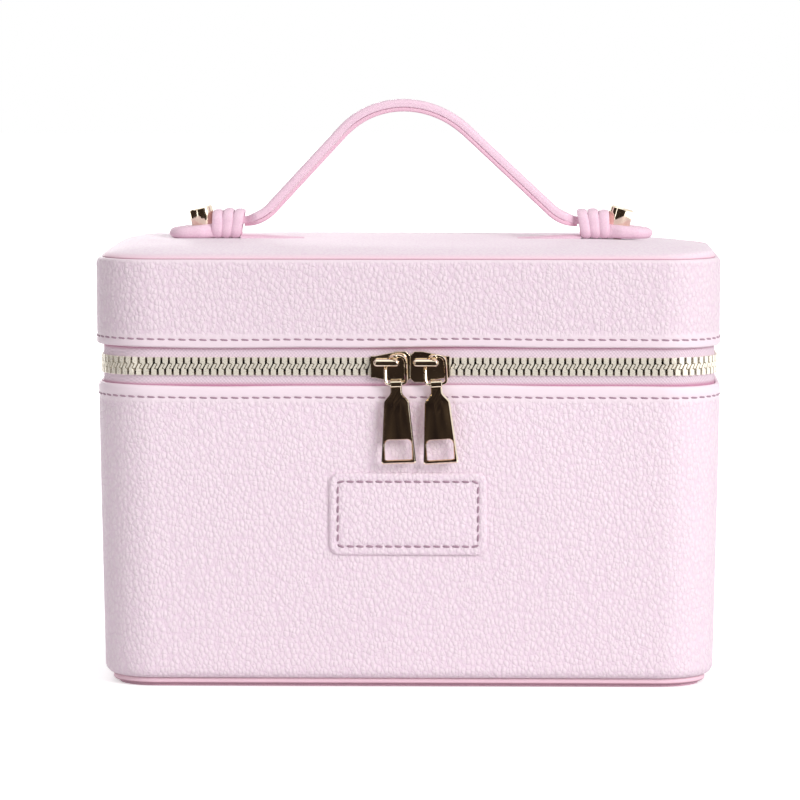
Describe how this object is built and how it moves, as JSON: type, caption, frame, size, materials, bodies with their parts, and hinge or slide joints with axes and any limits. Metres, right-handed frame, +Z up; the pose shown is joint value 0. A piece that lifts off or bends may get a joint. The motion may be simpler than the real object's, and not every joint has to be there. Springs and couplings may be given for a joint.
{
  "type": "makeup storage case",
  "caption": "Rectangular leatherette makeup case with round corners, a padded lid hinged at the back, a two-way metal zip and an arched top handle.",
  "frame": {"origin": "middle of the flat base, on the surface that the case stands on", "axes": "+X along the front to the right, +Y to the back where the lid hinges, +Z up"},
  "size_m": [0.222, 0.1357, 0.2074],
  "materials": {
    "leather": "pebbled leatherette, pale pink",
    "leather_trim": "smoother folded leatherette, pale pink",
    "stiff_board": "grey fibreboard",
    "lining_cloth": "woven lining",
    "padding": "foam",
    "zip_tape": "woven tape",
    "zip_metal": "polished pale gold",
    "gold_metal": "polished gold plate",
    "screw_metal": "plated"
  },
  "bodies": {
    "case": {"body_wall": "leather", "body_board": "stiff_board", "body_lining": "lining_cloth", "base_panel": "leather_trim", "base_board": "stiff_board", "base_piping": "leather_trim", "front_patch": "leather", "hinge_strip_lower": "leather_trim", "zipper_tape_lower": "zip_tape", "zipper_teeth_lower": "zip_metal", "zipper_end_stops": "zip_metal"},
    "lid": {"lid_wall": "leather", "lid_band_board": "stiff_board", "lid_top_panel": "leather", "lid_padding": "padding", "lid_top_board": "stiff_board", "lid_lining": "lining_cloth", "hinge_strip_upper": "leather_trim", "zipper_tape_upper": "zip_tape", "zipper_teeth_upper": "zip_metal", "handle_anchor_left": "leather_trim", "handle_anchor_right": "leather_trim", "keeper_wrap_left": "leather", "keeper_wrap_right": "leather", "stud_left": "gold_metal", "stud_right": "gold_metal", "stud_washer_left": "screw_metal", "stud_washer_right": "screw_metal", "stud_screw_left": "screw_metal", "stud_screw_right": "screw_metal"},
    "handle": {"handle_strap": "leather", "handle_underside": "leather_trim"},
    "slider_left": {"slider_body_left": "gold_metal", "slider_crown_left": "gold_metal"},
    "link_left": {"pull_link_left": "gold_metal"},
    "pull_left": {"pull_tab_left": "gold_metal"},
    "slider_right": {"slider_body_right": "gold_metal", "slider_crown_right": "gold_metal"},
    "link_right": {"pull_link_right": "gold_metal"},
    "pull_right": {"pull_tab_right": "gold_metal"}
  },
  "joints": [
    {"name": "lid_hinge", "type": "hinge", "parent": "case", "child": "lid", "pos_m": [0, 0.063, 0.11475], "axis": [-1, 0, 0], "range_deg": [0, 110]},
    {"name": "handle_swing", "type": "hinge", "parent": "lid", "child": "handle", "pos_m": [0, 0, 0.16316], "axis": [1, 0, 0], "range_deg": [-60, 60]},
    {"name": "slider_left_slide", "type": "slide", "parent": "case", "child": "slider_left", "axis": [-1, 0, 0], "range_m": [0, 0.073], "deforming": ["zipper_teeth_lower"]},
    {"name": "link_left_swing", "type": "hinge", "parent": "slider_left", "child": "link_left", "pos_m": [-0.00758, -0.0684, 0.1164], "axis": [-1, 0, 0], "range_deg": [0, 75]},
    {"name": "pull_left_swing", "type": "hinge", "parent": "link_left", "child": "pull_left", "pos_m": [-0.00412, -0.0684, 0.10901], "axis": [-0.9994, 0, -0.0349], "range_deg": [0, 90]},
    {"name": "slider_right_slide", "type": "slide", "parent": "case", "child": "slider_right", "axis": [1, 0, 0], "range_m": [0, 0.073], "deforming": ["zipper_teeth_upper"]},
    {"name": "link_right_swing", "type": "hinge", "parent": "slider_right", "child": "link_right", "pos_m": [0.00637, -0.0684, 0.1164], "axis": [-1, 0, 0], "range_deg": [0, 75]},
    {"name": "pull_right_swing", "type": "hinge", "parent": "link_right", "child": "pull_right", "pos_m": [0.01003, -0.0684, 0.10901], "axis": [-0.9981, 0, -0.061], "range_deg": [0, 90]}
  ]
}
